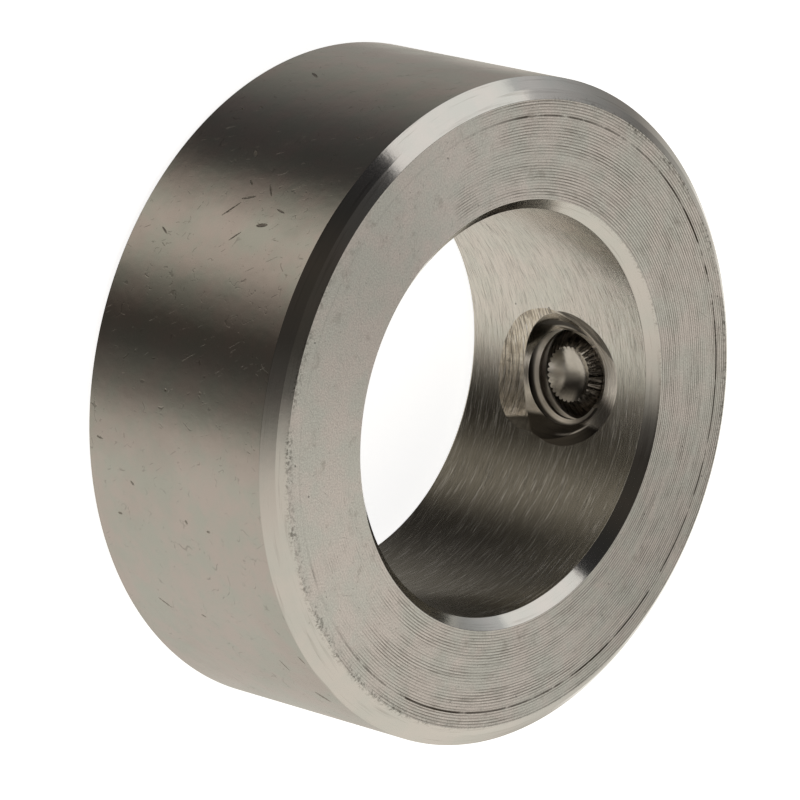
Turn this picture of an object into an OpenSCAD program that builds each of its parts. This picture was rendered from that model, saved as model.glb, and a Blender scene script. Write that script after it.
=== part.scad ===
// Shaft collar held by one radial grub screw.
// The shaft axis is Z, the collar lies on its back face, and the screw's axis is Y.

/* [Ring] */
// Diameter of the bore that slides over the shaft
bore_d = 22; // [20:0.5:24]
// Outside diameter of the ring
outer_d = 36; // [34:0.5:44]
// Width of the ring along the shaft
width = 14; // [12:0.5:20]

/* [Edges] */
// Radial leg of the main chamfer on the front outer edge
front_chamfer_r = 0.6; // [0.2:0.05:1]
// Axial leg of the main chamfer on the front outer edge
front_chamfer_h = 0.58; // [0.2:0.02:1]
// Radial leg of the flatter second cut between that chamfer and the front face
front_break_r = 0.5; // [0.2:0.05:0.8]
// Axial leg of the flatter second cut
front_break_h = 0.37; // [0.15:0.01:0.6]
// Both legs of the chamfer on the back outer edge
back_chamfer = 0.4; // [0.1:0.05:1]
// Both legs of the chamfer at each end of the bore
bore_chamfer = 0.6; // [0.2:0.05:1]

/* [Tapped hole] */
// Pitch diameter of the thread, which stands for hole and screw alike (M6 coarse)
thread_pitch_d = 5.35; // [4:0.05:5.6]
// Radial gap between the screw's thread and the hole's
thread_clearance = 0.05; // [0.02:0.01:0.1]
// Depth of the countersink where the hole leaves the outside of the ring
mouth_depth = 0.45; // [0.2:0.05:0.8]

/* [Ground relief in the bore] */
// Diameter of the barrel-shaped burr that ground the tapping burr off the bore wall
burr_d = 11; // [9:0.5:13]
// Deepest cut of each of the burr's two passes below the bore wall
relief_depth = 0.75; // [0.4:0.05:0.9]
// Half-length that the pass towards the back of the ring would have on the bore wall
back_half = 3.75; // [3.2:0.05:4.2]
// Distance from the screw's axis back to the middle of that pass
back_shift = 0.9; // [0.4:0.1:1.2]
// Distance from the screw's axis back to the burr's square end, which cuts that pass short
square_end = 4.35; // [3.6:0.05:4.4]
// Half-length on the bore wall of the pass towards the front of the ring
front_half = 3.25; // [2.8:0.05:3.6]
// Distance from the screw's axis forward to the middle of that pass
front_shift = 1.3; // [0.6:0.1:1.6]
// Distance by which the burr wandered sideways between the two passes
wander = 0.25; // [0:0.05:0.6]

/* [Grub screw] */
// Depth of the screw's tip below the bore wall
tip_depth = 0.8; // [0.4:0.1:1.6]
// Depth of the screw's socket end below the outside of the ring
end_depth = 0.2; // [0:0.1:0.6]
// Diameter of the cup's cutting rim
cup_d = 3.1; // [2:0.1:3.4]
// Included angle of the hollow cup
cup_angle = 118; // [90:1:140]
// Serrations knurled around the point
knurl_count = 30; // [16:1:30]
// Depth of each serration, measured square to the cone
knurl_depth = 0.14; // [0.08:0.01:0.15]
// Chamfer round the socket end of the screw
end_chamfer = 0.45; // [0.2:0.05:0.7]

/* [Hex socket] */
// Width across the flats of the socket
socket_af = 3; // [2:0.1:3.2]
// Depth of the socket's flats
socket_depth = 2.6; // [1.8:0.1:3]
// Included angle of the drill point under the flats
drill_angle = 118; // [90:1:140]
// Stock left on the drilled hole for the broach to shave to the flats
broach_stock = 0.05; // [0.02:0.01:0.15]

/* [Hidden] */
$fn = 180;

bore_r = bore_d / 2;
outer_r = outer_d / 2;
screw_z = width / 2;
hole_r = thread_pitch_d / 2;
shank_r = hole_r - thread_clearance;
cup_r = cup_d / 2;
tip_y = bore_r + tip_depth;
screw_len = outer_r - end_depth - tip_y;
socket_r = socket_af / 2;
// How far a cutting tool runs past the surface that it starts from
overrun = 1;

// Height of a cone of a given radius and included angle
function cone_h(radius, angle) = radius / tan(angle / 2);

// Turned section of the ring, from the bore out to the rim
module ring_section() {
    main_r = outer_r - front_chamfer_r;
    polygon([
        [bore_r + bore_chamfer, 0],
        [outer_r - back_chamfer, 0],
        [outer_r, back_chamfer],
        [outer_r, width - front_break_h - front_chamfer_h],
        [main_r, width - front_break_h],
        [main_r - front_break_r, width],
        [bore_r + bore_chamfer, width],
        [bore_r, width - bore_chamfer],
        [bore_r, bore_chamfer],
    ]);
}

// Radial hole through the wall, countersunk outside
module tapped_hole() {
    mouth_y = outer_r - mouth_depth;
    mouth_h = mouth_depth + overrun;
    translate([0, 0, screw_z])
        rotate([-90, 0, 0]) {
            cylinder(r = hole_r, h = outer_r + overrun);
            translate([0, 0, mouth_y])
                cylinder(r1 = hole_r, r2 = hole_r + mouth_h, h = mouth_h);
        }
}

// Barrel swept by the burr as it turned about an axis parallel to the bore.
// Its side is one arc that leaves the bore wall at both ends of half_length.
module burr_pass(half_length, back_end) {
    burr_r = burr_d / 2;
    arc_r = (half_length * half_length + relief_depth * relief_depth) / (2 * relief_depth);
    translate([0, bore_r + relief_depth - burr_r, 0])
        rotate_extrude()
            intersection() {
                translate([burr_r - arc_r, 0])
                    circle(r = arc_r);
                translate([0, -back_end])
                    square([burr_r, back_end + half_length]);
            }
}

// Two passes beside the screw's axis, one towards each face of the ring
module relief_cut() {
    translate([-wander / 2, 0, screw_z - back_shift])
        burr_pass(back_half, square_end - back_shift);
    translate([wander / 2, 0, screw_z + front_shift])
        burr_pass(front_half, front_half);
}

module collar() {
    color("#a8a299")
        difference() {
            rotate_extrude()
                ring_section();
            tapped_hole();
            relief_cut();
        }
}

// Turned outline of the screw, from the cup's centre out and up to the socket end
module screw_section() {
    shoulder_z = shank_r - cup_r;
    polygon([
        [0, cone_h(cup_r, cup_angle)],
        [cup_r, 0],
        [shank_r, shoulder_z],
        [shank_r, screw_len - end_chamfer],
        [shank_r - end_chamfer, screw_len],
        [0, screw_len],
    ]);
}

// V grooves down the cone of the point, deepest at the cup's rim, which they leave toothed
module knurl_cuts() {
    cone_len = (shank_r - cup_r) / cos(45);
    fade = atan(knurl_depth / cone_len);
    groove_r = 1.12 * knurl_depth;
    lead = knurl_depth;
    for (i = [0 : knurl_count - 1])
        rotate([0, 0, i * 360 / knurl_count])
            translate([cup_r, 0, 0])
                rotate([0, 45 + fade, 0])
                    translate([groove_r - knurl_depth, 0, -lead])
                        cylinder(r = groove_r, h = lead + cone_len, $fn = 4);
}

// Broached hexagon over a drill point, with a conical lead-in
module socket_cut() {
    corner_r = socket_r / cos(30);
    lead_r = corner_r + 0.1;
    lead_h = cone_h(lead_r, drill_angle);
    drill_r = socket_r - broach_stock;
    point_h = cone_h(drill_r, drill_angle);
    translate([0, 0, screw_len - socket_depth])
        cylinder(r = corner_r, h = socket_depth + overrun, $fn = 6);
    translate([0, 0, screw_len - socket_depth - point_h])
        cylinder(r1 = 0, r2 = drill_r, h = point_h);
    translate([0, 0, screw_len - lead_h])
        cylinder(r1 = 0, r2 = lead_r, h = lead_h);
}

module grub_screw() {
    color("#8d8982")
        translate([0, tip_y, screw_z])
            rotate([-90, 0, 0])
                difference() {
                    rotate_extrude()
                        screw_section();
                    knurl_cuts();
                    socket_cut();
                }
}

collar();
grub_screw();
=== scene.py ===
# Shaft collar with one radial grub screw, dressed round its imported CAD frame.
import math
from types import SimpleNamespace

import bpy
import numpy as np
from mathutils import Euler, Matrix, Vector


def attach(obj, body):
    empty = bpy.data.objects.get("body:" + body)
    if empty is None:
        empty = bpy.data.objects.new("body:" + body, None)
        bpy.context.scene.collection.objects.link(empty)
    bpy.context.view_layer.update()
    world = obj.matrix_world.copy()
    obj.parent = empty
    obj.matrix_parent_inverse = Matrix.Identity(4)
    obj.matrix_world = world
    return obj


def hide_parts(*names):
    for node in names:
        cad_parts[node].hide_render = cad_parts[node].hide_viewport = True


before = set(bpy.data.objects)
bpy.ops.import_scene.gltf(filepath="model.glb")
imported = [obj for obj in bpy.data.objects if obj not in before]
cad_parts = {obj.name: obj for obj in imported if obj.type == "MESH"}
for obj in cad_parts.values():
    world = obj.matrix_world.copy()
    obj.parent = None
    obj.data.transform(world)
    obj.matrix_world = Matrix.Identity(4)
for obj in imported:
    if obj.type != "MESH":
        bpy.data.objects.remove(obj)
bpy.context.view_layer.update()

# Camera
# A long lens looks down on the collar from in front of its bore, rolled so that the bore
# axis runs to the right, as in the photograph.
MM = 0.001
AIM = Vector((0.47, -0.75, 6.33)) * MM
DISTANCE = 346.0 * MM
AZIMUTH, ELEVATION, ROLL = -104.47, 42.46, 103.91
LENS_MM = 290.7
SENSOR_MM = 36


def pointing(bearing, height):
    """The unit vector at a bearing and a height above the level, both in degrees."""
    a, e = math.radians(bearing), math.radians(height)
    return Vector((math.cos(a) * math.cos(e), math.sin(a) * math.cos(e), math.sin(e)))


camera_data = bpy.data.cameras.new("camera")
camera_data.lens = LENS_MM
camera_data.sensor_width = SENSOR_MM
camera_data.clip_start = 10 * MM
camera = bpy.data.objects.new("camera", camera_data)
bpy.context.scene.collection.objects.link(camera)
toward = pointing(AZIMUTH, ELEVATION)
camera.location = AIM + toward * DISTANCE
level = toward.to_track_quat("Z", "Y")
camera.rotation_mode = "QUATERNION"
camera.rotation_quaternion = level @ Euler((0, 0, math.radians(ROLL))).to_quaternion()
bpy.context.scene.camera = camera
bpy.context.scene.view_settings.view_transform = "Standard"


def add(tree, kind, inputs=(), **settings):
    """Add one shader node, set its values, and link what is given as a socket."""
    made = tree.nodes.new(kind)
    for name, value in settings.items():
        setattr(made, name, value)
    for key, value in dict(inputs).items():
        if isinstance(value, bpy.types.NodeSocket):
            tree.links.new(value, made.inputs[key])
        else:
            made.inputs[key].default_value = value
    return made


def linear(hex_colour):
    """Turn an sRGB hex colour into the linear RGBA that shaders take."""
    parts = [int(hex_colour[i:i + 2], 16) / 255 for i in (1, 3, 5)]
    return [p / 12.92 if p <= 0.04045 else ((p + 0.055) / 1.055) ** 2.4 for p in parts] + [1.0]


# Studio
# Polished steel shows nothing but what stands round it. On one side lies a pale table, on the
# other a dim room with a window in it, and a bright patch of the table between two dark gaps.
# Each list goes round the collar by bearing in degrees: UNDER looks at the table right below,
# LOW looks down across it, HIGH looks up past it, and CEILING looks overhead.
STUDIO_LEVEL = 1.25
LOW = (
    (-180, "#383634"), (-168, "#3d3a37"), (-157, "#8b857c"), (-146, "#bab3a8"), (-132, "#aea79c"),
    (-120, "#6f6a62"), (-108, "#38342f"), (-97, "#3c3935"), (-82, "#69655e"), (-70, "#aba69c"),
    (-58, "#bdb8ae"), (0, "#c1bcb3"), (25, "#bab5ac"), (60, "#b9b4ab"), (84, "#c0bbb2"), (96, "#b0aca4"),
    (105, "#8e8a84"), (128, "#8c8882"), (140, "#7d7973"), (153, "#66635f"), (165, "#4a4745"),
)
UNDER = (
    (-180, "#2d2b29"), (-110, "#2b2926"), (-75, "#7d7871"), (-40, "#cfcac1"), (0, "#dedad2"),
    (60, "#d2cdc4"), (95, "#8d8983"), (125, "#57534e"),
)
HIGH = (
    (-180, "#2a2a2b"), (-160, "#262524"), (-138, "#35312c"), (-112, "#292624"), (-95, "#33302e"),
    (-82, "#625e58"), (-62, "#bab4ab"), (-40, "#d0cac1"), (0, "#d6d1c8"), (45, "#dad5cc"),
    (62, "#d0ccc4"), (78, "#c3bfb8"), (92, "#9b9893"), (104, "#6a6866"), (116, "#8b8a89"),
    (132, "#b6b6b6"), (169, "#a4a5a6"), (174, "#3a3a3b"),
)
CEILING = (
    (-180, "#454443"), (-150, "#3f3b37"), (-110, "#3a3733"), (-88, "#5b5854"), (-60, "#c6c1b8"),
    (0, "#d8d3ca"), (45, "#cbc6be"), (75, "#a5a19b"), (105, "#75726f"), (140, "#62605e"),
)
# The height, as a sine, over which each ring takes over from the one below it
LOW_RISE, HIGH_RISE, CEILING_RISE = (-0.95, -0.75), (-0.5, 0.05), (0.6, 0.9)
# Round patches of light: colour, bearing, height, and how far from its middle, in degrees, the
# patch ends and is full
WINDOW = ("#e6e4e1", 153, 30, 22.6, 21.4)
TABLE_GLARE = ("#f4f1ea", 75, -32, 15, 4)

world = bpy.data.worlds.new("studio")
bpy.context.scene.world = world
world.use_nodes = True
tree = world.node_tree
tree.nodes.clear()
direction = add(tree, "ShaderNodeTexCoord").outputs["Generated"]
parts = add(tree, "ShaderNodeSeparateXYZ", {0: direction}).outputs
bearing = add(
    tree, "ShaderNodeMath", {0: parts["Y"], 1: parts["X"]}, operation="ARCTAN2",
).outputs[0]
turn = add(
    tree, "ShaderNodeMapRange", {"Value": bearing, "From Min": -math.pi, "From Max": math.pi},
).outputs[0]
rings = []
for stops in (UNDER, LOW, HIGH, CEILING):
    ramp = add(tree, "ShaderNodeValToRGB", {0: turn})
    scale = ramp.color_ramp.elements
    for degrees, colour in (*stops, (180, stops[0][1])):
        place = (degrees + 180) / 360
        stop = scale[0] if degrees == -180 else scale[-1] if degrees == 180 else scale.new(place)
        stop.color = linear(colour)
    rings.append(ramp.outputs[0])
room = rings[0]
for ring, (start, full) in zip(rings[1:], (LOW_RISE, HIGH_RISE, CEILING_RISE)):
    upward = add(
        tree, "ShaderNodeMapRange", {"Value": parts["Z"], "From Min": start, "From Max": full},
        interpolation_type="SMOOTHSTEP",
    ).outputs[0]
    room = add(
        tree, "ShaderNodeMix", {0: upward, 6: room, 7: ring}, data_type="RGBA",
    ).outputs[2]
for colour, around, height, outer, inner in (WINDOW, TABLE_GLARE):
    facing = add(
        tree, "ShaderNodeVectorMath", {0: direction, 1: pointing(around, height)},
        operation="DOT_PRODUCT",
    ).outputs["Value"]
    amount = add(
        tree, "ShaderNodeMapRange",
        {"Value": facing, "From Min": math.cos(math.radians(outer)),
         "From Max": math.cos(math.radians(inner))},
        interpolation_type="SMOOTHSTEP",
    ).outputs[0]
    room = add(
        tree, "ShaderNodeMix", {0: amount, 6: room, 7: linear(colour)}, data_type="RGBA",
    ).outputs[2]
glow = add(tree, "ShaderNodeBackground", {"Color": room, "Strength": STUDIO_LEVEL}).outputs[0]
white = add(tree, "ShaderNodeBackground", {"Color": (1, 1, 1, 1), "Strength": 1.0}).outputs[0]
seen = add(tree, "ShaderNodeLightPath").outputs["Is Camera Ray"]
shown = add(tree, "ShaderNodeMixShader", {0: seen, 1: glow, 2: white}).outputs[0]
add(tree, "ShaderNodeOutputWorld", {"Surface": shown})

# Floor
# A plain white sheet under the collar. It takes the collar's soft shadow and otherwise shows
# as white. The steel mirrors the studio all round and not this sheet.
FLOOR_HALF = 2.0
PAPER_LIFT = 0.85
floor_mesh = bpy.data.meshes.new("floor")
floor_mesh.from_pydata(
    [(-FLOOR_HALF, -FLOOR_HALF, 0), (FLOOR_HALF, -FLOOR_HALF, 0),
     (FLOOR_HALF, FLOOR_HALF, 0), (-FLOOR_HALF, FLOOR_HALF, 0)],
    [], [(0, 1, 2, 3)],
)
floor = bpy.data.objects.new("floor", floor_mesh)
bpy.context.scene.collection.objects.link(floor)
floor.visible_glossy = False
paper = bpy.data.materials.new("white_paper")
paper.use_nodes = True
tree = paper.node_tree
tree.nodes.clear()
sheet = add(tree, "ShaderNodeBsdfDiffuse", {"Color": linear("#f2f2f2")}).outputs[0]
seen = add(tree, "ShaderNodeLightPath").outputs["Is Camera Ray"]
lift = add(tree, "ShaderNodeEmission", {"Color": (1, 1, 1, 1), "Strength": PAPER_LIFT}).outputs[0]
lit = add(tree, "ShaderNodeAddShader", {0: sheet, 1: lift}).outputs[0]
shown = add(tree, "ShaderNodeMixShader", {0: seen, 1: sheet, 2: lit}).outputs[0]
add(tree, "ShaderNodeOutputMaterial", {"Surface": shown})
floor_mesh.materials.append(paper)

# Collar
# One stainless steel ring, turned and faced on a lathe, bored, drilled and tapped through its
# wall, with the tapping burr ground off inside the bore by hand.
BORE_R = 11.0
OUTER_R = 18.0
WIDTH = 14.0
SCREW_Z = WIDTH / 2
CHAMFER_R, CHAMFER_H = 0.6, 0.58
BREAK_R, BREAK_H = 0.5, 0.37
BACK_CHAMFER = 0.4
BORE_CHAMFER = 0.6
EDGE_ROUND = 0.05
LONGEST_FACET = 1.0
TURNS = 360
SMOOTH_ANGLE = 30
# The hole has an M6 coarse thread, which a tap cuts between two places along its axis.
# THREAD_PHASE is where the middle of one of the tap's own crests stands.
PITCH = 1.0
THREAD_PHASE = 0.52
THREAD_STEPS = 96
HOLE_MINOR_R = 2.5
HOLE_ROOT_R = 3.05
HOLE_CREST_FLAT, HOLE_ROOT_FLAT = 0.24, 0.125
TAP_FROM, TAP_TO = 8.0, 20.0
MOUTH_DEPTH = 0.62
MOUTH_FLARE = 1.65
# How far a cutter runs past the surface that it meets
OVERRUN = 1.0


def steels(*names):
    """Make an empty material for each finish. A finish's slot is its place in the list."""
    made = [bpy.data.materials.new(name) for name in names]
    for material in made:
        material.use_nodes = True
        material.node_tree.nodes.clear()
    return made


collar_materials = steels(
    "polished_stainless_steel", "chamfered_stainless_steel", "faced_stainless_steel",
    "bored_stainless_steel", "burr_ground_stainless_steel", "deburred_stainless_steel",
    "tapped_stainless_steel", "nicked_stainless_steel",
)
RIM, CHAMFER, FACE, BORE, GROUND, DEBURRED, TAPPED, NICKED = range(len(collar_materials))


def rounded(corners, radius, steps=4):
    """Round each corner of a closed outline, and give points, normals and slots.

    corners is a list of (r, z, slot), where slot is the finish from that corner to the next.
    The result is a list of (r, z, normal_r, normal_z, slot) that runs the same way.
    """
    points = []
    count = len(corners)
    for i, (r, z, slot) in enumerate(corners):
        here = Vector((r, z))
        before = Vector(corners[i - 1][:2])
        after = Vector(corners[(i + 1) % count][:2])
        come = (here - before).normalized()
        go = (after - here).normalized()
        normal_in = Vector((come.y, -come.x))
        normal_out = Vector((go.y, -go.x))
        turn = 1 if come.cross(go) > 0 else -1
        reach = radius * math.tan(come.angle(go) / 2)
        centre = here - come * reach - normal_in * radius * turn
        for k in range(steps + 1):
            mix = normal_in.slerp(normal_out, k / steps)
            at = centre + mix * radius * turn
            arc_slot = slot if k == steps else CHAMFER
            points.append((at.x, at.y, mix.x, mix.y, arc_slot))
    return points


def subdivided(points, longest):
    """Split long straight stretches of a closed outline, so that no face is a long sliver."""
    result = []
    count = len(points)
    for i, (r, z, nr, nz, slot) in enumerate(points):
        r2, z2, nr2, nz2 = points[(i + 1) % count][:4]
        pieces = math.ceil(math.hypot(r2 - r, z2 - z) / longest)
        for k in range(pieces):
            t = k / pieces
            result.append((
                r + (r2 - r) * t, z + (z2 - z) * t,
                nr + (nr2 - nr) * t, nz + (nz2 - nz) * t, slot,
            ))
    return result


def make_object(name, vertices, faces, slots, materials):
    """Link a mesh given in millimetres, with one material slot per face."""
    mesh = bpy.data.meshes.new(name)
    mesh.from_pydata([tuple(c * MM for c in v) for v in vertices], [], faces)
    for material in materials:
        mesh.materials.append(material)
    mesh.polygons.foreach_set("material_index", slots)
    mesh.validate()
    made = bpy.data.objects.new(name, mesh)
    bpy.context.scene.collection.objects.link(made)
    return made


def turned_ring(name, outline, turns, materials):
    """Revolve a closed outline that stays clear of the Z axis."""
    count = len(outline)
    vertices = []
    for i in range(turns):
        a = 2 * math.pi * i / turns
        for point in outline:
            vertices.append((point[0] * math.cos(a), point[0] * math.sin(a), point[1]))
    faces, slots = [], []
    for i in range(turns):
        j = (i + 1) % turns
        for k in range(count):
            m = (k + 1) % count
            faces.append((i * count + k, j * count + k, j * count + m, i * count + m))
            slots.append(outline[k][4])
    return make_object(name, vertices, faces, slots, materials)


def turned_plug(name, outline, turns, slot, materials):
    """Revolve an open outline that starts and ends on the Z axis."""
    inner = outline[1:-1]
    count = len(inner)
    vertices = [(0.0, 0.0, outline[0][1]), (0.0, 0.0, outline[-1][1])]
    for i in range(turns):
        a = 2 * math.pi * i / turns
        for r, z in inner:
            vertices.append((r * math.cos(a), r * math.sin(a), z))
    faces = []
    for i in range(turns):
        j = (i + 1) % turns
        first, second = 2 + i * count, 2 + j * count
        faces.append((0, second, first))
        for k in range(count - 1):
            faces.append((first + k, second + k, second + k + 1, first + k + 1))
        faces.append((first + count - 1, second + count - 1, 1))
    return make_object(name, vertices, faces, [slot] * len(faces), materials)


def threaded_plug(name, crest_r, root_r, crest_w, root_w, low, high, slot, materials):
    """A closed bar about the Z axis with a thread of one pitch on it, from low to high or more.

    Over one pitch the profile is a crest flat, a flank, a root flat and a flank. A crest's
    middle lies at THREAD_PHASE at angle zero. Each column of points climbs with the helix, and
    both ends are closed to the axis.
    """
    flank = (PITCH - crest_w - root_w) / 2
    profile = [
        (-crest_w / 2, crest_r), (crest_w / 2, crest_r),
        (crest_w / 2 + flank, root_r), (crest_w / 2 + flank + root_w, root_r),
    ]
    points = len(profile)
    turns = math.ceil((high - low) / PITCH) + 2
    start = THREAD_PHASE + math.floor((low - THREAD_PHASE) / PITCH - 1) * PITCH
    top_row = points * turns
    rows = top_row + 1
    vertices = []
    for i in range(THREAD_STEPS):
        a = 2 * math.pi * i / THREAD_STEPS
        rise = PITCH * i / THREAD_STEPS
        for k in range(rows):
            offset, radius = profile[k % points]
            z = start + rise + offset + (k // points) * PITCH
            vertices.append((radius * math.cos(a), radius * math.sin(a), z))
    faces = []
    for i in range(THREAD_STEPS - 1):
        for k in range(top_row):
            first, second = i * rows + k, (i + 1) * rows + k
            faces.append((first, second, second + 1, first + 1))
    last = (THREAD_STEPS - 1) * rows
    for k in range(top_row - points):
        faces.append((last + k, k + points, k + points + 1, last + k + 1))
    lower = [i * rows for i in range(THREAD_STEPS)] + list(range(points, 0, -1))
    upper = [i * rows + top_row for i in range(THREAD_STEPS)]
    upper += [last + k for k in range(top_row - 1, top_row - points - 1, -1)]
    bottom, top = len(vertices), len(vertices) + 1
    vertices += [(0.0, 0.0, start), (0.0, 0.0, start + turns * PITCH)]
    for loop, hub, way in ((lower, bottom, -1), (upper, top, 1)):
        for k, point in enumerate(loop):
            following = loop[(k + 1) % len(loop)]
            faces.append((point, following, hub)[::way])
    return make_object(name, vertices, faces, [slot] * len(faces), materials)


def stood_on_screw(piece, height=0.0):
    """Turn a mesh made about Z onto the screw's axis, at a height along it in millimetres."""
    piece.data.transform(Euler((math.radians(-90), 0, 0)).to_matrix().to_4x4())
    for vertex in piece.data.vertices:
        vertex.co += Vector((0, height, SCREW_Z)) * MM


def combine(piece, tool, operation):
    """Cut or intersect a piece with a tool for good, and take the tool away."""
    modifier = piece.modifiers.new(operation, "BOOLEAN")
    modifier.operation = operation
    modifier.object = tool
    modifier.solver = "MANIFOLD"
    bpy.context.view_layer.update()
    shaped = piece.evaluated_get(bpy.context.evaluated_depsgraph_get())
    mesh = bpy.data.meshes.new_from_object(shaped)
    piece.modifiers.clear()
    mesh.name = piece.data.name
    piece.data = mesh
    bpy.data.objects.remove(tool)


def turned_normals(xy, z, outline):
    """Exact normals of a turned surface at points given by distance from its axis and height."""
    best = np.full(len(xy), np.inf)
    normal = np.zeros((len(xy), 2))
    count = len(outline)
    for i in range(count):
        r1, z1, nr1, nz1 = outline[i][:4]
        r2, z2, nr2, nz2 = outline[(i + 1) % count][:4]
        run = (r2 - r1) ** 2 + (z2 - z1) ** 2
        t = np.clip(((xy - r1) * (r2 - r1) + (z - z1) * (z2 - z1)) / run, 0, 1)
        away = (xy - r1 - t * (r2 - r1)) ** 2 + (z - z1 - t * (z2 - z1)) ** 2
        nearer = away < best
        best[nearer] = away[nearer]
        normal[nearer, 0] = (nr1 + (nr2 - nr1) * t)[nearer]
        normal[nearer, 1] = (nz1 + (nz2 - nz1) * t)[nearer]
    return normal


def shade(piece, outline=(), turned=()):
    """Smooth a mesh, with an outline's exact normals on the slots that were turned to it."""
    mesh = piece.data
    mesh.shade_smooth()
    mesh.set_sharp_from_angle(angle=math.radians(SMOOTH_ANGLE))
    loops = len(mesh.loops)
    corner = np.empty(loops * 3, np.float32)
    mesh.corner_normals.foreach_get("vector", corner)
    corner = corner.reshape(-1, 3).astype(float)
    of_loop = np.empty(loops, np.int32)
    mesh.loops.foreach_get("vertex_index", of_loop)
    place = np.empty(len(mesh.vertices) * 3, np.float32)
    mesh.vertices.foreach_get("co", place)
    place = place.reshape(-1, 3)[of_loop] / MM
    slot = np.empty(len(mesh.polygons), np.int32)
    mesh.polygons.foreach_get("material_index", slot)
    total = np.empty(len(mesh.polygons), np.int32)
    mesh.polygons.foreach_get("loop_total", total)
    mine = np.isin(np.repeat(slot, total), turned)
    x, y, z = place[mine].T
    xy = np.hypot(x, y)
    normal = turned_normals(xy, z, outline)
    corner[mine] = np.column_stack([normal[:, 0] * x / xy, normal[:, 0] * y / xy, normal[:, 1]])
    corner /= np.linalg.norm(corner, axis=1, keepdims=True)
    mesh.normals_split_custom_set([tuple(n) for n in corner])


main_r = OUTER_R - CHAMFER_R
ring_outline = subdivided(rounded([
    (BORE_R + BORE_CHAMFER, 0, FACE),
    (OUTER_R - BACK_CHAMFER, 0, CHAMFER),
    (OUTER_R, BACK_CHAMFER, RIM),
    (OUTER_R, WIDTH - BREAK_H - CHAMFER_H, CHAMFER),
    (main_r, WIDTH - BREAK_H, CHAMFER),
    (main_r - BREAK_R, WIDTH, FACE),
    (BORE_R + BORE_CHAMFER, WIDTH, CHAMFER),
    (BORE_R, WIDTH - BORE_CHAMFER, BORE),
    (BORE_R, BORE_CHAMFER, CHAMFER),
], EDGE_ROUND), LONGEST_FACET)
collar = turned_ring("turned_collar", ring_outline, TURNS, collar_materials)

# The tapped hole: its thread, and the countersink outside
tap = threaded_plug(
    "tap", HOLE_ROOT_R, HOLE_MINOR_R, HOLE_ROOT_FLAT, HOLE_CREST_FLAT, TAP_FROM, TAP_TO, TAPPED,
    collar_materials,
)
mouth = turned_plug("mouth_cutter", [
    (0, OUTER_R - OVERRUN), (HOLE_MINOR_R, OUTER_R - MOUTH_DEPTH),
    (HOLE_MINOR_R + MOUTH_FLARE, OUTER_R + OVERRUN), (0, OUTER_R + OVERRUN),
], THREAD_STEPS, TAPPED, collar_materials)
for cutter in (tap, mouth):
    stood_on_screw(cutter)
    combine(collar, cutter, "DIFFERENCE")

# The relief ground and scraped round the hole inside the bore. A barrel-shaped burr took the
# back of it, and a hand deburring tool ran twice round the rest of the hole's edge.
BURR_R = 6.4
BURR_DEPTH = 0.45
BURR_BACK_HALF = 3.5
BURR_FRONT_HALF = 2.3
BURR_SHIFT = (-0.9, -0.1)
BURR_TILT = 0.08
# The power by which the barrel's side falls away. An arc has 2.
BURR_POWER = 2.4
OUTER_BEVEL_R = 3.7
OUTER_BEVEL_SLOPE = 0.42
OUTER_BEVEL_SHIFT = (0.65, 0.0)
INNER_BEVEL_R = 3.2
INNER_BEVEL_START = 0.27
INNER_BEVEL_SLOPE = 0.68
INNER_BEVEL_SHIFT = (0.2, 0.0)
# The cutter's grid and reach, how far it stays clear of wall that it leaves alone, and how far
# into the bore its near point lies
SPOKES, RINGS = 480, 200
HUB_R, REACH = 0.4, 5.2
CLEAR, DROP = 0.2, 4.0


def burr_depth(along, across):
    """Depth below the bore wall at a place beside the screw's axis, as the burr left it."""
    reach = along - BURR_SHIFT[0]
    reach = np.where(reach < 0, -reach / BURR_BACK_HALF, reach / BURR_FRONT_HALF)
    radius = BURR_R - BURR_DEPTH * reach ** BURR_POWER
    side = across - BURR_SHIFT[1] + BURR_TILT * (along - BURR_SHIFT[0])
    height = BORE_R + BURR_DEPTH - BURR_R + np.sqrt(np.maximum(radius ** 2 - side ** 2, 0))
    return height - np.sqrt(BORE_R ** 2 - across ** 2)


def outer_bevel_depth(along, across):
    """The same for the flatter bevel, which is round as seen along the screw."""
    off = np.hypot(along - OUTER_BEVEL_SHIFT[0], across - OUTER_BEVEL_SHIFT[1])
    return OUTER_BEVEL_SLOPE * (OUTER_BEVEL_R - off)


def inner_bevel_depth(along, across):
    """The same for the steeper bevel inside it, which starts some way down."""
    off = np.hypot(along - INNER_BEVEL_SHIFT[0], across - INNER_BEVEL_SHIFT[1])
    return INNER_BEVEL_START + INNER_BEVEL_SLOPE * (INNER_BEVEL_R - off)


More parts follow.
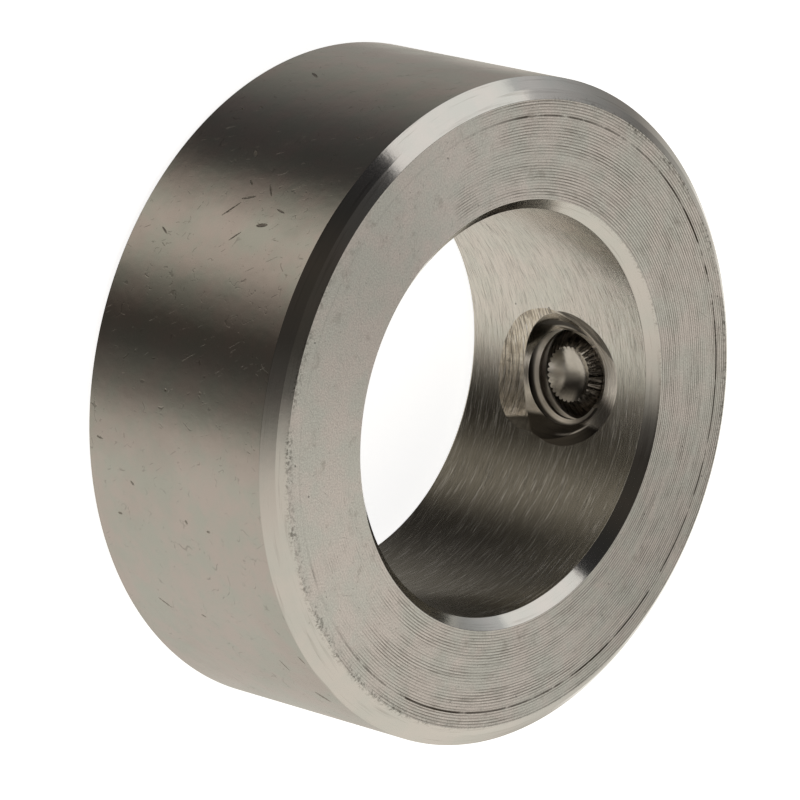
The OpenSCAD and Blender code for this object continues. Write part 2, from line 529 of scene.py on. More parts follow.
def relief_plug():
    """A closed cutter whose far side is the deepest of the three cuts at each place."""
    turn = np.linspace(0, 2 * math.pi, SPOKES, endpoint=False)
    radius = np.linspace(HUB_R, REACH, RINGS)
    along = np.outer(np.cos(turn), radius)
    across = np.outer(np.sin(turn), radius)
    cuts = np.array([
        burr_depth(along, across), outer_bevel_depth(along, across),
        inner_bevel_depth(along, across),
    ])
    depth = np.maximum(cuts.max(axis=0), -CLEAR)
    height = np.sqrt(BORE_R ** 2 - across ** 2) + depth
    finish = np.array([GROUND, DEBURRED, DEBURRED])[cuts.argmax(axis=0)]
    vertices = [(0.0, BORE_R + BURR_DEPTH, SCREW_Z), (0.0, BORE_R - DROP, SCREW_Z)]
    for i in range(SPOKES):
        for k in range(RINGS):
            vertices.append((across[i, k], height[i, k], SCREW_Z + along[i, k]))
    faces, slots = [], []
    for i in range(SPOKES):
        first, second = 2 + i * RINGS, 2 + (i + 1) % SPOKES * RINGS
        faces.append((0, first, second))
        slots.append(GROUND)
        for k in range(RINGS - 1):
            faces.append((first + k, first + k + 1, second + k + 1, second + k))
            slots.append(int(finish[i, k]))
        faces.append((first + RINGS - 1, 1, second + RINGS - 1))
        slots.append(GROUND)
    return make_object("relief_cutter", vertices, faces, slots, collar_materials)


combine(collar, relief_plug(), "DIFFERENCE")

# Small nicks that handling left on the outside: bearing in degrees, height, length, width and
# depth in millimetres, and how far each slants from the shaft's direction.
NICKS = (
    (-132.5, 6.5, 0.5, 0.13, 0.016, 38), (-129.6, 7.0, 1.0, 0.15, 0.016, -21),
    (-126.9, 6.3, 2.0, 0.12, 0.012, -51), (-122.3, 7.5, 1.1, 0.1, 0.008, -47),
    (-131.8, 8.1, 1.1, 0.12, 0.016, 48), (-138.2, 5.4, 0.5, 0.2, 0.020, 50),
    (-125.2, 8.9, 0.8, 0.25, 0.012, -15), (-128.4, 9.6, 0.7, 0.12, 0.012, 12),
    (-120.6, 2.6, 0.7, 0.12, 0.012, 30), (-147.2, 2.0, 0.22, 0.18, 0.020, 0),
    (-148.6, 3.0, 0.22, 0.18, 0.020, 0), (-160.4, 3.5, 0.9, 0.2, 0.024, 27),
    (-146.1, 10.8, 0.22, 0.2, 0.024, 0), (-94.7, 5.9, 0.2, 0.18, 0.020, 0),
    (-95.6, 8.4, 0.25, 0.18, 0.020, 0), (-84.0, 1.2, 0.5, 0.14, 0.016, 10),
    (-77.4, 3.5, 0.35, 0.16, 0.020, 40), (-71.1, 2.2, 0.35, 0.16, 0.020, 0),
    (-72.8, 7.3, 0.3, 0.16, 0.020, 60), (-72.1, 8.9, 0.3, 0.16, 0.020, 0),
    (-53.0, 6.2, 0.35, 0.16, 0.020, 20), (-53.6, 3.4, 1.1, 0.14, 0.016, 36),
    (-36.5, 11.7, 1.2, 0.34, 0.028, 57), (-44.9, 10.7, 1.2, 0.12, 0.012, 73),
    (-48.2, 12.6, 0.7, 0.14, 0.012, 65), (20.0, 5.1, 0.9, 0.16, 0.016, 30),
    (48.0, 10.2, 0.5, 0.2, 0.020, -40), (118.0, 3.7, 1.4, 0.12, 0.012, 62),
    (151.0, 9.4, 0.4, 0.2, 0.020, 10),
)
NICK_AROUND, NICK_ALONG = 10, 6
# The middle of a nick's cutter stands off the steel by the nick's depth, so the nick is this
# share of the cutter's own length and width.
CHORD = 0.866


def nick_cutters():
    """One mesh of slim ellipsoids that dip into the outside of the ring."""
    vertices, faces = [], []
    for bearing, height, length, width, depth, slant in NICKS:
        first = len(vertices)
        lean = math.radians(slant)
        outward, up = pointing(bearing, 0), pointing(0, 90)
        long_way = up * math.cos(lean) + pointing(bearing + 90, 0) * math.sin(lean)
        wide_way = outward.cross(long_way)
        centre = outward * (OUTER_R + depth) + up * height
        half = Vector((length / 2 / CHORD, width / 2 / CHORD, 2 * depth))
        vertices.append(tuple(centre + long_way * half.x))
        for k in range(1, NICK_ALONG):
            a = math.pi * k / NICK_ALONG
            for i in range(NICK_AROUND):
                b = 2 * math.pi * i / NICK_AROUND
                vertices.append(tuple(
                    centre + long_way * half.x * math.cos(a)
                    + wide_way * half.y * math.sin(a) * math.cos(b)
                    + outward * half.z * math.sin(a) * math.sin(b)
                ))
        vertices.append(tuple(centre - long_way * half.x))
        last = len(vertices) - 1
        for i in range(NICK_AROUND):
            j = (i + 1) % NICK_AROUND
            faces.append((first, first + 1 + i, first + 1 + j))
            for k in range(NICK_ALONG - 2):
                row = first + 1 + k * NICK_AROUND
                faces.append((row + i, row + NICK_AROUND + i, row + NICK_AROUND + j, row + j))
            row = last - NICK_AROUND
            faces.append((row + i, last, row + j))
    return make_object(
        "nick_cutters", vertices, faces, [NICKED] * len(faces), collar_materials,
    )


combine(collar, nick_cutters(), "DIFFERENCE")
shade(collar, ring_outline, (RIM, CHAMFER, FACE, BORE))


def in_millimetres(tree):
    """The place on a piece in millimetres, as a vector and as its x, y and z."""
    texture = add(tree, "ShaderNodeTexCoord").outputs["Object"]
    place = add(
        tree, "ShaderNodeVectorMath", {0: texture, "Scale": 1 / MM}, operation="SCALE",
    ).outputs[0]
    return place, add(tree, "ShaderNodeSeparateXYZ", {0: place}).outputs


def along_screw(tree):
    """The same as seen along the screw: also beside its axis, off it, and flat with no depth."""
    place, (x, y, z) = in_millimetres(tree)
    beside = add(tree, "ShaderNodeMath", {0: z, 1: SCREW_Z}, operation="SUBTRACT").outputs[0]
    flat = add(tree, "ShaderNodeCombineXYZ", {0: beside, 1: x}).outputs[0]
    off = add(tree, "ShaderNodeVectorMath", {0: flat}, operation="LENGTH").outputs["Value"]
    return SimpleNamespace(place=place, x=x, y=y, beside=beside, flat=flat, off=off)


def way_round(tree, u, v, radius):
    """The way round an axis in millimetres, measured at a radius."""
    turn = add(tree, "ShaderNodeMath", {0: v, 1: u}, operation="ARCTAN2").outputs[0]
    return add(tree, "ShaderNodeMath", {0: turn, 1: radius}, operation="MULTIPLY").outputs[0]


def overlap(tree, masks):
    """One mask that shows only where all of the masks do."""
    total = masks[0]
    for mask in masks[1:]:
        total = add(tree, "ShaderNodeMath", {0: total, 1: mask}, operation="MULTIPLY").outputs[0]
    return total


def lows_and_highs(tree, pattern, low, high):
    """The low and the high places of a pattern. Each pair says where they start and are full."""
    return [add(
        tree, "ShaderNodeMapRange", {"Value": pattern, "From Min": start, "From Max": full},
    ).outputs[0] for start, full in (low, high)]


def thin_line(tree, value, middle, outer, inner):
    """A line where a value passes its middle, which comes in between two distances from it."""
    off = add(tree, "ShaderNodeMath", {0: value, 1: middle}, operation="SUBTRACT").outputs[0]
    off = add(tree, "ShaderNodeMath", {0: off}, operation="ABSOLUTE").outputs[0]
    return add(
        tree, "ShaderNodeMapRange", {"Value": off, "From Min": outer, "From Max": inner},
    ).outputs[0]


def on_side(tree, place, way, start, full, blend="SMOOTHSTEP"):
    """A mask that comes in toward one side, between two distances along a way."""
    ward = add(
        tree, "ShaderNodeVectorMath", {0: place, 1: way}, operation="DOT_PRODUCT",
    ).outputs["Value"]
    return add(
        tree, "ShaderNodeMapRange", {"Value": ward, "From Min": start, "From Max": full},
        interpolation_type=blend,
    ).outputs[0]


def tool_lines(tree, u, v, across, pitch, length):
    """Lines a pitch apart that a tool leaves as the work turns, broken after a length."""
    where = add(tree, "ShaderNodeCombineXYZ", {0: u, 1: v, 2: across}).outputs[0]
    where = add(
        tree, "ShaderNodeVectorMath", {0: where, 1: (1 / length, 1 / length, 1 / pitch)},
        operation="MULTIPLY",
    ).outputs[0]
    return add(
        tree, "ShaderNodeTexNoise",
        {"Vector": where, "Scale": 1.0, "Detail": 3.0, "Roughness": 0.6},
    ).outputs[0]


def cloudy(tree, place, size, low, high):
    """Soft clouds of a size, from 0 where the noise is below low to 1 where it is above high."""
    cloud = add(
        tree, "ShaderNodeTexNoise",
        {"Vector": place, "Scale": 1 / size, "Detail": 4.0, "Roughness": 0.6},
    ).outputs[0]
    return add(
        tree, "ShaderNodeMapRange", {"Value": cloud, "From Min": low, "From Max": high},
        interpolation_type="SMOOTHSTEP",
    ).outputs[0]


def specks(tree, place, spacing, radius, share):
    """Round specks: one in each cell of a spacing, and only in a share of the cells."""
    cells = add(tree, "ShaderNodeTexVoronoi", {"Vector": place, "Scale": 1 / spacing}).outputs
    dot = add(
        tree, "ShaderNodeMapRange",
        {"Value": cells["Distance"], "From Min": radius / spacing,
         "From Max": 0.4 * radius / spacing},
        interpolation_type="SMOOTHSTEP",
    ).outputs[0]
    lot = add(tree, "ShaderNodeSeparateColor", {0: cells["Color"]}).outputs[0]
    kept = add(tree, "ShaderNodeMath", {0: lot, 1: share}, operation="LESS_THAN").outputs[0]
    return overlap(tree, (dot, kept))


def scratches(tree, way, across, slant, width, length, rarity):
    """Straight hair scratches that lean by slant degrees from the way round."""
    flat = add(tree, "ShaderNodeCombineXYZ", {0: way, 1: across}).outputs[0]
    leaning = add(
        tree, "ShaderNodeVectorRotate", {"Vector": flat, "Angle": math.radians(slant)},
        rotation_type="Z_AXIS",
    ).outputs[0]
    where = add(
        tree, "ShaderNodeVectorMath", {0: leaning, 1: (1 / length, 1 / width, 0)},
        operation="MULTIPLY",
    ).outputs[0]
    strokes = add(
        tree, "ShaderNodeTexNoise",
        {"Vector": where, "Scale": 1.0, "Detail": 2.0, "Roughness": 0.5},
        noise_dimensions="2D",
    ).outputs[0]
    return add(
        tree, "ShaderNodeMapRange",
        {"Value": strokes, "From Min": rarity, "From Max": rarity + 0.05},
    ).outputs[0]


def curls(tree, place, size, width, rarity):
    """Short curved hair marks: pieces of the level line of a noise of a size."""
    field = add(
        tree, "ShaderNodeTexNoise", {"Vector": place, "Scale": 1 / size, "Detail": 1.0},
    ).outputs[0]
    line = thin_line(tree, field, 0.5, width / size, 0.3 * width / size)
    return overlap(tree, (line, cloudy(tree, place, 0.8 * size, rarity, rarity + 0.05)))


def laid_over(tree, colour, layers):
    """Lay colours over a steel colour. A layer is a mask, how much of it shows, and a colour."""
    for mask, strength, over in layers:
        amount = add(
            tree, "ShaderNodeMath", {0: mask, 1: strength}, operation="MULTIPLY",
        ).outputs[0]
        colour = add(
            tree, "ShaderNodeMix", {0: amount, 6: colour, 7: linear(over)}, data_type="RGBA",
        ).outputs[2]
    return colour


def heights(tree, layers):
    """Add up heights. A layer is a pattern and the height of its white in millimetres."""
    total = 0.0
    for pattern, height in layers:
        total = add(
            tree, "ShaderNodeMath", {0: pattern, 1: height, 2: total}, operation="MULTIPLY_ADD",
        ).outputs[0]
    return total


def steel_finish(tree, colour, height, roughness, brushed, axis):
    """Finish one steel surface, whose tool marks run round an axis and blur across themselves."""
    grain = add(tree, "ShaderNodeTangent", direction_type="RADIAL", axis=axis).outputs[0]
    normal = add(tree, "ShaderNodeBump", {"Height": height, "Distance": MM}).outputs[0]
    surface = add(tree, "ShaderNodeBsdfPrincipled", {
        "Base Color": colour, "Metallic": 1.0, "Roughness": roughness,
        "Anisotropic": brushed, "Anisotropic Rotation": 0.25, "Tangent": grain,
        "Normal": normal,
    }).outputs[0]
    add(tree, "ShaderNodeOutputMaterial", {"Surface": surface})


# Polished stainless steel: the outside was turned and then polished with fine cloth, so it
# shows clear reflections, slightly warm and cool by turns, with hair marks of handling.
PINKISH = "#cfc7c3"
GREENISH = "#c6c8c2"
DIRT = "#3b342b"
SOOT = "#6a645c"
tree = collar_materials[RIM].node_tree
place, (x, y, z) = in_millimetres(tree)
way = way_round(tree, x, y, OUTER_R)
tint = cloudy(tree, place, 2.2, 0.35, 0.65)
cloth = tool_lines(tree, x, y, z, 0.35, 7.0)
smear = cloudy(tree, place, 5.0, 0.45, 0.7)
dings = cloudy(tree, place, 0.8, 0.3, 0.7)
swell = cloudy(tree, place, 6.0, 0.3, 0.7)
hairs = scratches(tree, way, z, 57, 0.1, 1.6, 0.76)
swirls = curls(tree, place, 1.5, 0.02, 0.58)
small_swirls = curls(tree, place, 0.7, 0.012, 0.56)
pits = specks(tree, place, 1.7, 0.08, 0.22)
colour = laid_over(tree, linear(PINKISH), (
    (tint, 1.0, GREENISH), (smear, 0.12, "#a8a49c"), (hairs, 0.25, SOOT),
    (swirls, 0.3, SOOT), (small_swirls, 0.24, SOOT), (pits, 0.5, DIRT),
))
relief = heights(tree, (
    (cloth, 0.0025), (swell, 0.008), (dings, 0.0012), (hairs, -0.003), (swirls, -0.003),
    (small_swirls, -0.002), (pits, -0.01),
))
rough = add(
    tree, "ShaderNodeMapRange", {"Value": smear, "To Min": 0.19, "To Max": 0.25},
).outputs[0]
steel_finish(tree, colour, relief, rough, 0.5, "Z")

# Dirt lies thickest where the ring's edges face this bearing or the opposite one. CLEAN_SHARE
# of it lies in between, out to GRIMY_FROM millimetres that way.
GRIMY_BEARING = 300
GRIMY_FROM, GRIMY_FULL = 6.0, 15.0
CLEAN_SHARE = 0.12


def edge_grime(tree, place, nearness):
    """Crumbs of dirt near an edge, in patches on the two sides of the ring that are grimy."""
    ward = add(
        tree, "ShaderNodeVectorMath", {0: place, 1: pointing(GRIMY_BEARING, 0)},
        operation="DOT_PRODUCT",
    ).outputs["Value"]
    ward = add(tree, "ShaderNodeMath", {0: ward}, operation="ABSOLUTE").outputs[0]
    grimy = add(
        tree, "ShaderNodeMapRange",
        {"Value": ward, "From Min": GRIMY_FROM, "From Max": GRIMY_FULL, "To Min": CLEAN_SHARE},
    ).outputs[0]
    crumbs = cloudy(tree, place, 0.16, 0.46, 0.62)
    patches = cloudy(tree, place, 2.4, 0.35, 0.6)
    return overlap(tree, (crumbs, nearness, patches, grimy))


# Chamfered stainless steel: one pass of a form tool left smooth cones with faint rings, and
# dirt has gathered where they meet the front face.
tree = collar_materials[CHAMFER].node_tree
place, (x, y, z) = in_millimetres(tree)
rings = tool_lines(tree, x, y, z, 0.14, 5.0)
dark_rings = add(
    tree, "ShaderNodeMapRange", {"Value": rings, "From Min": 0.45, "From Max": 0.3},
).outputs[0]
tint = cloudy(tree, place, 2.5, 0.35, 0.65)
dings = cloudy(tree, place, 0.5, 0.35, 0.65)
grit = specks(tree, place, 0.8, 0.07, 0.2)
edge_ward = add(
    tree, "ShaderNodeMapRange",
    {"Value": z, "From Min": WIDTH - 0.14, "From Max": WIDTH - 0.02},
).outputs[0]
grime = edge_grime(tree, place, edge_ward)
colour = laid_over(tree, linear("#d3cfca"), (
    (tint, 1.0, "#cdcdc8"), (dark_rings, 0.35, "#8d8982"), (grit, 0.4, DIRT),
    (grime, 0.65, DIRT),
))
relief = heights(tree, ((rings, 0.002), (dings, 0.0006), (grit, -0.006), (grime, 0.002)))
steel_finish(tree, colour, relief, 0.13, 0.5, "Z")

# Faced stainless steel: the facing tool left fine even grooves round the shaft. They are worn
# away in patches, most of all on one side, and one deeper groove near the edge holds dirt.
FACING_PITCH = 0.155
DEEP_GROOVE_R = 16.03
# How far the grooves drift from an even pitch, in radians of a groove
DRIFT = 4.0
# The wear grows toward a bearing, from one distance to another in millimetres that way, and
# patches shift it by up to WORN_PATCHES. It leaves LEAST_KEPT of the grooves.
WORN_BEARING = 255
WORN_FROM, WORN_FULL, WORN_PATCHES = 13.0, 23.0, 22.0
LEAST_KEPT = 0.08
tree = collar_materials[FACE].node_tree
place, (x, y, z) = in_millimetres(tree)
flat = add(tree, "ShaderNodeCombineXYZ", {0: x, 1: y}).outputs[0]
off = add(tree, "ShaderNodeVectorMath", {0: flat}, operation="LENGTH").outputs["Value"]
way = way_round(tree, x, y, OUTER_R)
drift = add(
    tree, "ShaderNodeTexNoise", {"Vector": place, "Scale": 0.12, "Detail": 1.0},
).outputs[0]
phase = add(
    tree, "ShaderNodeMath", {0: off, 1: 2 * math.pi / FACING_PITCH}, operation="MULTIPLY",
).outputs[0]
phase = add(
    tree, "ShaderNodeMath", {0: drift, 1: DRIFT, 2: phase}, operation="MULTIPLY_ADD",
).outputs[0]
groove = add(tree, "ShaderNodeMath", {0: phase}, operation="SINE").outputs[0]
toward_worn = add(
    tree, "ShaderNodeVectorMath", {0: place, 1: pointing(WORN_BEARING, 0)},
    operation="DOT_PRODUCT",
).outputs["Value"]
patches = add(
    tree, "ShaderNodeTexNoise", {"Vector": place, "Scale": 0.35, "Detail": 3.0},
).outputs[0]
worn = add(
    tree, "ShaderNodeMath", {0: patches, 1: WORN_PATCHES, 2: toward_worn},
    operation="MULTIPLY_ADD",
).outputs[0]
kept = add(
    tree, "ShaderNodeMapRange",
    {"Value": worn, "From Min": WORN_FULL, "From Max": WORN_FROM, "To Min": LEAST_KEPT},
    interpolation_type="SMOOTHSTEP",
).outputs[0]
uneven_depth = add(
    tree, "ShaderNodeMapRange",
    {"Value": tool_lines(tree, x, y, off, 0.5, 9.0), "From Min": 0.3, "From Max": 0.65,
     "To Min": 0.35, "To Max": 1.3},
).outputs[0]
kept = overlap(tree, (kept, uneven_depth))
ripple = overlap(tree, (groove, kept))
dark_groove, crest = lows_and_highs(tree, ripple, (-0.2, -0.95), (0.7, 1.0))
uneven = tool_lines(tree, x, y, off, 0.09, 1.3)
streaky = add(
    tree, "ShaderNodeMapRange", {"Value": uneven, "From Min": 0.5, "From Max": 0.72},
).outputs[0]
deep_groove = thin_line(tree, off, DEEP_GROOVE_R, 0.08, 0.04)
deep_dirt = cloudy(tree, place, 1.6, 0.36, 0.5)
dirty = cloudy(tree, place, 1.3, 0.42, 0.62)
tint = cloudy(tree, place, 2.4, 0.35, 0.65)
stain = cloudy(tree, place, 0.9, 0.58, 0.75)
grain = cloudy(tree, place, 0.1, 0.35, 0.65)
grit = specks(tree, place, 0.9, 0.08, 0.3)
fine_grit = specks(tree, place, 0.35, 0.06, 0.3)
dents = specks(tree, place, 2.1, 0.16, 0.25)
hairs = scratches(tree, way, off, 40, 0.09, 2.4, 0.72)
rim_ward = add(
    tree, "ShaderNodeMapRange", {"Value": off, "From Min": 16.3, "From Max": 16.85},
    interpolation_type="SMOOTHSTEP",
).outputs[0]
grime = edge_grime(tree, place, rim_ward)
colour = laid_over(tree, linear("#e9e2dd"), (
    (tint, 1.0, "#dfe0da"), (dark_groove, 0.62, "#767169"), (crest, 0.35, "#fffdf9"),
    (overlap(tree, (streaky, kept)), 0.45, "#7f7a73"), (stain, 0.3, "#8e877d"),
    (overlap(tree, (dirty, dark_groove)), 0.45, SOOT), (hairs, 0.2, SOOT), (grain, 0.2, SOOT),
    (fine_grit, 0.35, SOOT), (dents, 0.3, SOOT), (grit, 0.5, DIRT), (grime, 0.7, DIRT),
    (overlap(tree, (deep_groove, deep_dirt, kept)), 0.9, DIRT),
))
relief = heights(tree, (
    (ripple, 0.003), (uneven, 0.009), (grain, 0.004), (hairs, -0.003), (grit, -0.015),
    (dents, -0.03), (grime, 0.004),
))
steel_finish(tree, colour, relief, 0.35, 0.85, "Z")

# Bored stainless steel: a boring bar left lines round the wall, coarser than the polish
# outside, which smear every reflection along the shaft. One side of the wall is painted darker,
# as painted shade for the dimmer reflection on that side.
# The wall is painted darker toward this bearing: painted shade.
SHADED_BEARING = 35
tree = collar_materials[BORE].node_tree
place, (x, y, z) = in_millimetres(tree)
way = way_round(tree, x, y, BORE_R)
lines = tool_lines(tree, x, y, z, 0.09, 1.6)
dark_lines, bright_lines = lows_and_highs(tree, lines, (0.46, 0.3), (0.56, 0.72))
long_lines = tool_lines(tree, x, y, z, 0.07, 9.0)
long_bright = add(
    tree, "ShaderNodeMapRange", {"Value": long_lines, "From Min": 0.62, "From Max": 0.72},
).outputs[0]
tint = cloudy(tree, place, 2.6, 0.35, 0.65)
# Painted shade: the wall darkens toward that bearing.
wall_shade = on_side(tree, place, pointing(SHADED_BEARING, 0), 4.0, 9.5)
hairs = scratches(tree, way, z, 7, 0.04, 3.0, 0.67)
dark_hairs = scratches(tree, way, z, 12, 0.045, 1.6, 0.63)
pits = specks(tree, place, 1.3, 0.08, 0.3)
colour = laid_over(tree, linear("#f1ece7"), (
    (tint, 1.0, "#ebebe5"), (wall_shade, 1.0, "#928f86"), (dark_lines, 0.3, "#6d6862"),
    (dark_hairs, 0.5, "#6d6862"), (bright_lines, 0.45, "#ffffff"),
    (long_bright, 0.45, "#ffffff"), (hairs, 0.4, "#ffffff"), (pits, 0.6, DIRT),
))
relief = heights(tree, ((lines, 0.013), (long_lines, 0.008), (hairs, 0.005), (pits, -0.02)))
steel_finish(tree, colour, relief, 0.27, 0.75, "Z")

# Burr-ground stainless steel: the rotary burr chattered and left coarse marks along its way,
# and one side of its floor is painted dark as painted shade.
# Where the painted shade begins and is full, beside the screw's axis, and how far its edge
# leans sideways for each millimetre along the shaft
SHADE_FROM, SHADE_FULL = 2.12, 2.3
SHADE_LEAN = 0.19
tree = collar_materials[GROUND].node_tree
place, (x, y, z) = in_millimetres(tree)
chatter = tool_lines(tree, x, y, z, 0.15, 2.2)
dark_chatter = add(
    tree, "ShaderNodeMapRange", {"Value": chatter, "From Min": 0.48, "From Max": 0.38},
).outputs[0]
fine = tool_lines(tree, x, y, z, 0.07, 0.9)
dark_fine, bright_fine = lows_and_highs(tree, fine, (0.5, 0.38), (0.55, 0.66))
across_marks = tool_lines(tree, z, y, x, 0.5, 3.0)
stain = cloudy(tree, place, 1.2, 0.45, 0.62)
leant = SHADE_LEAN * SCREW_Z
# A band toward one side of the floor, painted dark as painted shade
painted_shade = on_side(tree, place, (1, 0, SHADE_LEAN), SHADE_FROM + leant, SHADE_FULL + leant)
colour = laid_over(tree, linear("#fbf3e6"), (
    (stain, 0.6, "#e6dccb"), (dark_chatter, 0.6, "#4a433a"), (dark_fine, 0.5, "#5d564c"),
    (bright_fine, 0.6, "#ffffff"), (across_marks, 0.15, "#8b8377"), (painted_shade, 0.92, "#403e39"),
))
relief = heights(tree, ((chatter, 0.024), (fine, 0.018), (across_marks, 0.025)))
steel_finish(tree, colour, relief, 0.26, 0.6, "Z")

# Deburred stainless steel: the blade ran round the hole, so its marks are rings about the
# screw's axis. A bright line on the inner bevel's ridge is a painted highlight, and parts of
# both bevels and of the hole's lip are painted dark as painted shade.
tree = collar_materials[DEBURRED].node_tree
at = along_screw(tree)
rings = tool_lines(tree, at.beside, at.x, at.off, 0.11, 1.8)
coarse_rings = tool_lines(tree, at.beside, at.x, at.off, 0.22, 1.6)
dark_rings = add(
    tree, "ShaderNodeMapRange", {"Value": rings, "From Min": 0.47, "From Max": 0.32},
).outputs[0]
# Painted shade: the far part of the bevels, darkened in streaks
lobe_shade = on_side(tree, at.flat, (0.5, -0.87, 0), 3.2, 3.35)
streaked = add(
    tree, "ShaderNodeMapRange",
    {"Value": rings, "From Min": 0.7, "From Max": 0.45, "To Min": 0.3, "To Max": 1.0},
).outputs[0]
# Painted shade toward one side of the bevels
painted_shade = on_side(tree, at.flat, (0, 1, 0), 2.2, 2.5)
# Painted shade on the hole's lip, just inside its edge
lip_shade = on_side(tree, at.flat, (-0.6, -0.8, 0), 2.5, 2.62, "LINEAR")
inward = add(
    tree, "ShaderNodeMapRange", {"Value": at.off, "From Min": 3.22, "From Max": 3.12},
).outputs[0]
# A painted highlight along the inner bevel's ridge
from_ridge = add(
    tree, "ShaderNodeVectorMath", {0: at.flat, 1: (*INNER_BEVEL_SHIFT, 0)},
    operation="DISTANCE",
).outputs["Value"]
ridge_highlight = thin_line(tree, from_ridge, INNER_BEVEL_R, 0.08, 0.02)
front = on_side(tree, at.flat, (1, 0, 0), 0.2, 1.0, "LINEAR")
colour = laid_over(tree, linear("#e2ddd6"), (
    (dark_rings, 0.4, "#6a6359"), (coarse_rings, 0.15, "#9a9386"),
    (overlap(tree, (lobe_shade, streaked)), 0.85, "#2f2a25"), (painted_shade, 1.0, "#45413b"),
    (overlap(tree, (lip_shade, inward)), 0.9, "#38332c"),
    (overlap(tree, (ridge_highlight, front)), 0.6, "#f2eee8"),
))
relief = heights(tree, ((rings, 0.006), (coarse_rings, 0.008)))
steel_finish(tree, colour, relief, 0.2, 0.35, "Y")

# Tapped stainless steel: the tap tore the steel a little, and the root of the first turn of the
# thread is painted near black as painted shade, while the screw has kept the rest rubbed bright.
tree = collar_materials[TAPPED].node_tree
at = along_screw(tree)
torn = tool_lines(tree, at.beside, at.x, at.y, 0.09, 1.2)
oil = cloudy(tree, at.place, 0.9, 0.4, 0.6)
# Painted shade in the root of the first turn of the thread
root_ward = add(
    tree, "ShaderNodeMapRange", {"Value": at.off, "From Min": 2.66, "From Max": 2.8},
    interpolation_type="SMOOTHSTEP",
).outputs[0]
bore_ward = add(
    tree, "ShaderNodeMapRange", {"Value": at.y, "From Min": 12.25, "From Max": 11.9},
    interpolation_type="SMOOTHSTEP",
).outputs[0]
colour = laid_over(tree, linear("#f4efe8"), (
    (torn, 0.3, "#a39c90"), (oil, 0.2, "#b9b0a4"),
    (overlap(tree, (root_ward, bore_ward)), 0.9, "#26231f"),
))
steel_finish(tree, colour, heights(tree, ((torn, 0.008),)), 0.36, 0.4, "Y")

# Nicked stainless steel: bare bruised metal in the bottom of each nick, a little rough.
tree = collar_materials[NICKED].node_tree
bruise = cloudy(tree, in_millimetres(tree)[0], 0.12, 0.4, 0.6)
colour = laid_over(tree, linear("#b5b1ab"), ((bruise, 0.6, "#77726a"),))
steel_finish(tree, colour, heights(tree, ((bruise, 0.006),)), 0.35, 0.0, "Z")

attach(collar, "collar")
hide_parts("collar")

# Grub screw
# An M6 hex socket screw of stainless steel with a thread rolled on it, a hollow cup point with
# knurled teeth round its rim, and a broached socket. It is screwed into the collar's hole.
SCREW_LEN = 6.0
TIP_DEPTH = 0.8
TIP_Y = BORE_R + TIP_DEPTH
SCREW_MAJOR_R = 2.95
SCREW_MINOR_R = 2.38
SCREW_CREST_FLAT, SCREW_ROOT_FLAT = 0.13, 0.21
CUP_R = 1.55
CUP_ANGLE = 118
POINT_STEPS = 192
# The point's cone and the chamfer at the socket end both run out past the crests by this much.
PAST_CREST = 0.2
KNURLS = 30
KNURL_DEPTH = 0.11
KNURL_LEAN = math.radians(45)
# A knurl groove's half width, the length that it takes to run out, and where its cutter starts
# and ends along the cone
KNURL_HALF = 1.12 * KNURL_DEPTH
KNURL_RUN = 1.5
KNURL_START, KNURL_END = -0.2, 1.7
SOCKET_AF = 3.0
SOCKET_DEPTH = 2.6
DRILL_ANGLE = 118
DRILL_STEPS = 64
BROACH_STOCK = 0.05

screw_materials = steels(
    "thread_rolled_stainless_steel", "turned_point_stainless_steel", "broached_stainless_steel",
)
THREAD, POINT, SOCKET = range(len(screw_materials))
screw = threaded_plug(
    "grub_screw_dressed", SCREW_MAJOR_R, SCREW_MINOR_R, SCREW_CREST_FLAT, SCREW_ROOT_FLAT,
    TIP_Y, TIP_Y + SCREW_LEN, THREAD, screw_materials,
)
for vertex in screw.data.vertices:
    vertex.co.z -= TIP_Y * MM
outer = SCREW_MAJOR_R + PAST_CREST
cup_depth = CUP_R / math.tan(math.radians(CUP_ANGLE / 2))
envelope = turned_plug("screw_outline", [
    (0, cup_depth), (CUP_R, 0), (outer, outer - CUP_R),
    (outer, SCREW_LEN - (outer - SCREW_MINOR_R)), (SCREW_MINOR_R, SCREW_LEN), (0, SCREW_LEN),
], POINT_STEPS, POINT, screw_materials)
combine(screw, envelope, "INTERSECT")
fade = math.atan(KNURL_DEPTH / KNURL_RUN)
for i in range(KNURLS):
    groove = turned_plug("knurl", [
        (0, KNURL_START), (KNURL_HALF, KNURL_START), (KNURL_HALF, KNURL_END), (0, KNURL_END),
    ], 4, POINT, screw_materials)
    for vertex in groove.data.vertices:
        vertex.co.x += (KNURL_HALF - KNURL_DEPTH) * MM
    groove.data.transform(Euler((0, KNURL_LEAN + fade, 0)).to_matrix().to_4x4())
    for vertex in groove.data.vertices:
        vertex.co.x += CUP_R * MM
    groove.data.transform(Euler((0, 0, 2 * math.pi * i / KNURLS)).to_matrix().to_4x4())
    combine(screw, groove, "DIFFERENCE")
socket_floor = SCREW_LEN - SOCKET_DEPTH
corner_r = SOCKET_AF / math.sqrt(3)
hexagon = turned_plug("broach", [
    (0, socket_floor), (corner_r, socket_floor), (corner_r, SCREW_LEN + OVERRUN),
    (0, SCREW_LEN + OVERRUN),
], 6, SOCKET, screw_materials)
drill_r = SOCKET_AF / 2 - BROACH_STOCK
drill_top = socket_floor + OVERRUN / 2
drill = turned_plug("drill_point", [
    (0, socket_floor - drill_r / math.tan(math.radians(DRILL_ANGLE / 2))),
    (drill_r, socket_floor), (drill_r, drill_top), (0, drill_top),
], DRILL_STEPS, SOCKET, screw_materials)
for cutter in (hexagon, drill):
    combine(screw, cutter, "DIFFERENCE")
stood_on_screw(screw, TIP_Y)
shade(screw)

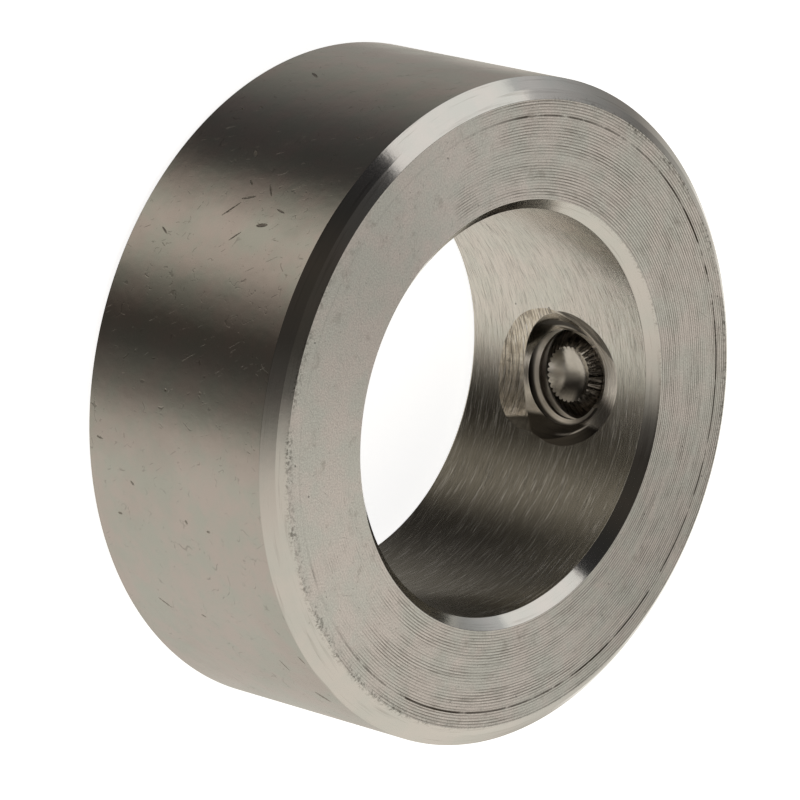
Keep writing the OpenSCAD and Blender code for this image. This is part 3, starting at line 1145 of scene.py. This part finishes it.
# Thread-rolled stainless steel: smooth flanks that the dies burnished along the helix. The
# screw is darker than the ring, with a blackish bloom that is rubbed off on the crests.
tree = screw_materials[THREAD].node_tree
at = along_screw(tree)
burnish = tool_lines(tree, at.beside, at.x, at.y, 0.08, 3.0)
bloom = cloudy(tree, at.place, 0.9, 0.4, 0.6)
worn_crest = add(
    tree, "ShaderNodeMapRange",
    {"Value": at.off, "From Min": SCREW_MAJOR_R - 0.12, "From Max": SCREW_MAJOR_R - 0.02},
).outputs[0]
colour = laid_over(tree, linear("#a39e96"), (
    (bloom, 0.5, "#857f76"), (burnish, 0.3, "#6d675e"), (worn_crest, 0.5, "#c9c5bf"),
))
steel_finish(tree, colour, heights(tree, ((burnish, 0.006),)), 0.28, 0.4, "Y")

# Turned stainless steel point: the cup and its cone, with rings from the turning tool, teeth
# that the knurling wheel pressed and tore, and painted shade on one side of the cup.
tree = screw_materials[POINT].node_tree
at = along_screw(tree)
rings = tool_lines(tree, at.beside, at.x, at.off, 0.09, 1.5)
torn = tool_lines(tree, at.off, at.y, way_round(tree, at.beside, at.x, CUP_R), 0.08, 1.0)
dark_torn, bright_torn = lows_and_highs(tree, torn, (0.52, 0.4), (0.56, 0.68))
bloom = cloudy(tree, at.place, 0.7, 0.4, 0.6)
outside = add(
    tree, "ShaderNodeMapRange",
    {"Value": at.off, "From Min": CUP_R - 0.05, "From Max": CUP_R + 0.15},
).outputs[0]
# Painted shade on one side of the cup
cup_shade = on_side(tree, at.flat, (0.45, 0.9, 0), 0.1, 0.6)
torn_teeth = overlap(tree, (dark_torn, outside))
rubbed_teeth = overlap(tree, (bright_torn, outside))
colour = laid_over(tree, linear("#dad6d0"), (
    (bloom, 0.25, "#b9b3aa"), (rings, 0.15, "#a39d94"), (outside, 0.75, "#6b645c"),
    (torn_teeth, 0.6, "#2b2722"), (rubbed_teeth, 0.4, "#d8d2c9"), (cup_shade, 0.65, "#4d4841"),
))
steel_finish(
    tree, colour, heights(tree, ((rings, 0.004), (torn_teeth, -0.02))), 0.15, 0.3, "Y",
)

# Broached stainless steel: the broach shaved the six flats and left lines along its stroke.
tree = screw_materials[SOCKET].node_tree
place, (x, y, z) = in_millimetres(tree)
shaved = tool_lines(tree, y, y, x, 0.07, 2.5)
bloom = cloudy(tree, place, 0.8, 0.4, 0.6)
colour = laid_over(tree, linear("#a8a39b"), ((shaved, 0.4, "#6f6a61"), (bloom, 0.4, "#7d776d")))
steel_finish(tree, colour, heights(tree, ((shaved, 0.012),)), 0.32, 0.0, "Y")

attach(screw, "grub_screw")
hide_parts("grub_screw")
